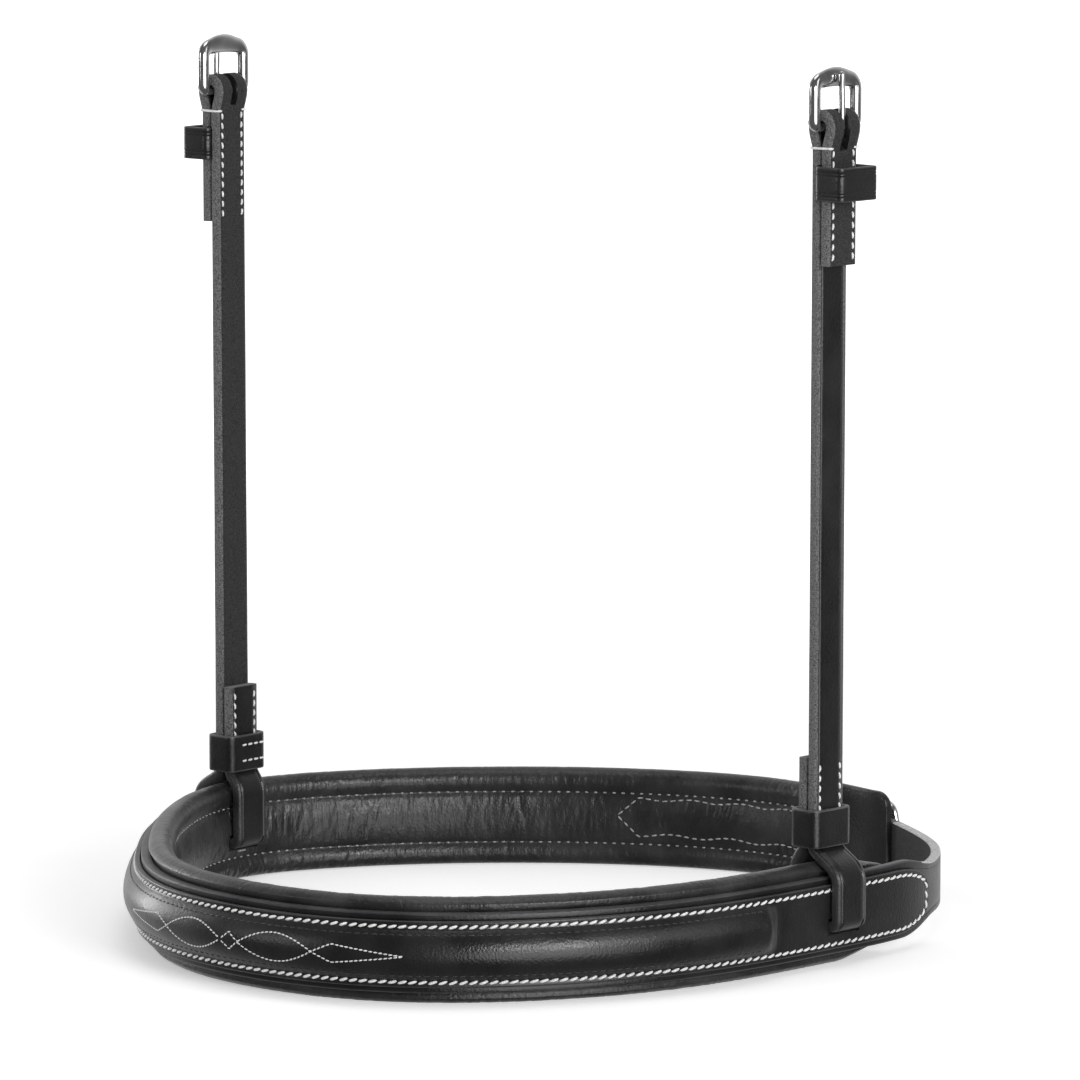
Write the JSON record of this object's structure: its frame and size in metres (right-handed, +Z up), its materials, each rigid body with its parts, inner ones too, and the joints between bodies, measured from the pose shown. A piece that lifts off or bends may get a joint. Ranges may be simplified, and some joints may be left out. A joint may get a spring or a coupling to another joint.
{
  "type": "cavesson noseband",
  "caption": "Padded leather cavesson noseband with a raised, pointed nosepiece, a buckled chin strap with fixed keepers, and a looped cheekpiece with keepers and a buckle on each side.",
  "frame": {"origin": "centre of the bounding box at the level the padding rests on", "axes": "+Z up the cheekpieces, -Y towards the front of the horse's nose, +X towards the horse's left side"},
  "size_m": [0.2542, 0.2637, 0.2683],
  "materials": {
    "leather": "semi-gloss black bridle leather",
    "soft_leather": "soft black leather, satin",
    "foam": "grey foam",
    "filler": "rough pressed leather",
    "steel": "polished stainless steel"
  },
  "bodies": {
    "band": {"main_strap": "leather", "nose_face": "leather", "nose_filler": "filler", "padding_core": "foam", "padding_lining": "soft_leather", "jaw_flap": "soft_leather", "chin_chape": "leather", "chin_keeper_1": "leather", "chin_keeper_2": "leather"},
    "cheekpiece_right": {"cheek_strap_right": "leather", "cheek_keeper_upper_right": "leather"},
    "lower_keeper_right": {"cheek_keeper_lower_right": "leather"},
    "buckle_right": {"cheek_buckle_frame_right": "steel"},
    "tongue_right": {"cheek_buckle_tongue_right": "steel"},
    "cheekpiece_left": {"cheek_strap_left": "leather", "cheek_keeper_upper_left": "leather"},
    "lower_keeper_left": {"cheek_keeper_lower_left": "leather"},
    "buckle_left": {"cheek_buckle_frame_left": "steel"},
    "tongue_left": {"cheek_buckle_tongue_left": "steel"},
    "chin_buckle": {"chin_buckle_frame": "steel"},
    "chin_tongue": {"chin_buckle_tongue": "steel"}
  },
  "joints": [
    {"name": "cheek_swing_right", "type": "hinge", "parent": "band", "child": "cheekpiece_right", "pos_m": [-0.11829, 0.00937, 0.0123], "axis": [-0.9971, 0.0759, 0], "range_deg": [-5, 5]},
    {"name": "keeper_slide_right", "type": "slide", "parent": "cheekpiece_right", "child": "lower_keeper_right", "axis": [0, 0, 1], "range_m": [0, 0.014]},
    {"name": "buckle_turn_right", "type": "hinge", "parent": "cheekpiece_right", "child": "buckle_right", "pos_m": [-0.11615, 0.0092, 0.2508], "axis": [-0.0759, -0.9971, 0], "range_deg": [-30, 45]},
    {"name": "tongue_lift_right", "type": "hinge", "parent": "buckle_right", "child": "tongue_right", "pos_m": [-0.11615, 0.0092, 0.2508], "axis": [-0.0759, -0.9971, 0], "range_deg": [0, 75]},
    {"name": "cheek_swing_left", "type": "hinge", "parent": "band", "child": "cheekpiece_left", "pos_m": [0.11829, 0.00917, 0.0123], "axis": [0.9897, -0.1431, 0], "range_deg": [-5, 5]},
    {"name": "keeper_slide_left", "type": "slide", "parent": "cheekpiece_left", "child": "lower_keeper_left", "axis": [0, 0, 1], "range_m": [0, 0.014]},
    {"name": "buckle_turn_left", "type": "hinge", "parent": "cheekpiece_left", "child": "buckle_left", "pos_m": [0.11616, 0.00948, 0.2508], "axis": [0.1431, 0.9897, 0], "range_deg": [-30, 45]},
    {"name": "tongue_lift_left", "type": "hinge", "parent": "buckle_left", "child": "tongue_left", "pos_m": [0.11616, 0.00948, 0.2508], "axis": [0.1431, 0.9897, 0], "range_deg": [0, 75]},
    {"name": "chin_buckle_turn", "type": "hinge", "parent": "band", "child": "chin_buckle", "pos_m": [0.04782, 0.12355, 0.0153], "axis": [0, 0, 1], "range_deg": [0, 2]},
    {"name": "chin_tongue_lift", "type": "hinge", "parent": "chin_buckle", "child": "chin_tongue", "pos_m": [0.04782, 0.12355, 0.0153], "axis": [0, 0, 1], "range_deg": [0, 3]}
  ]
}
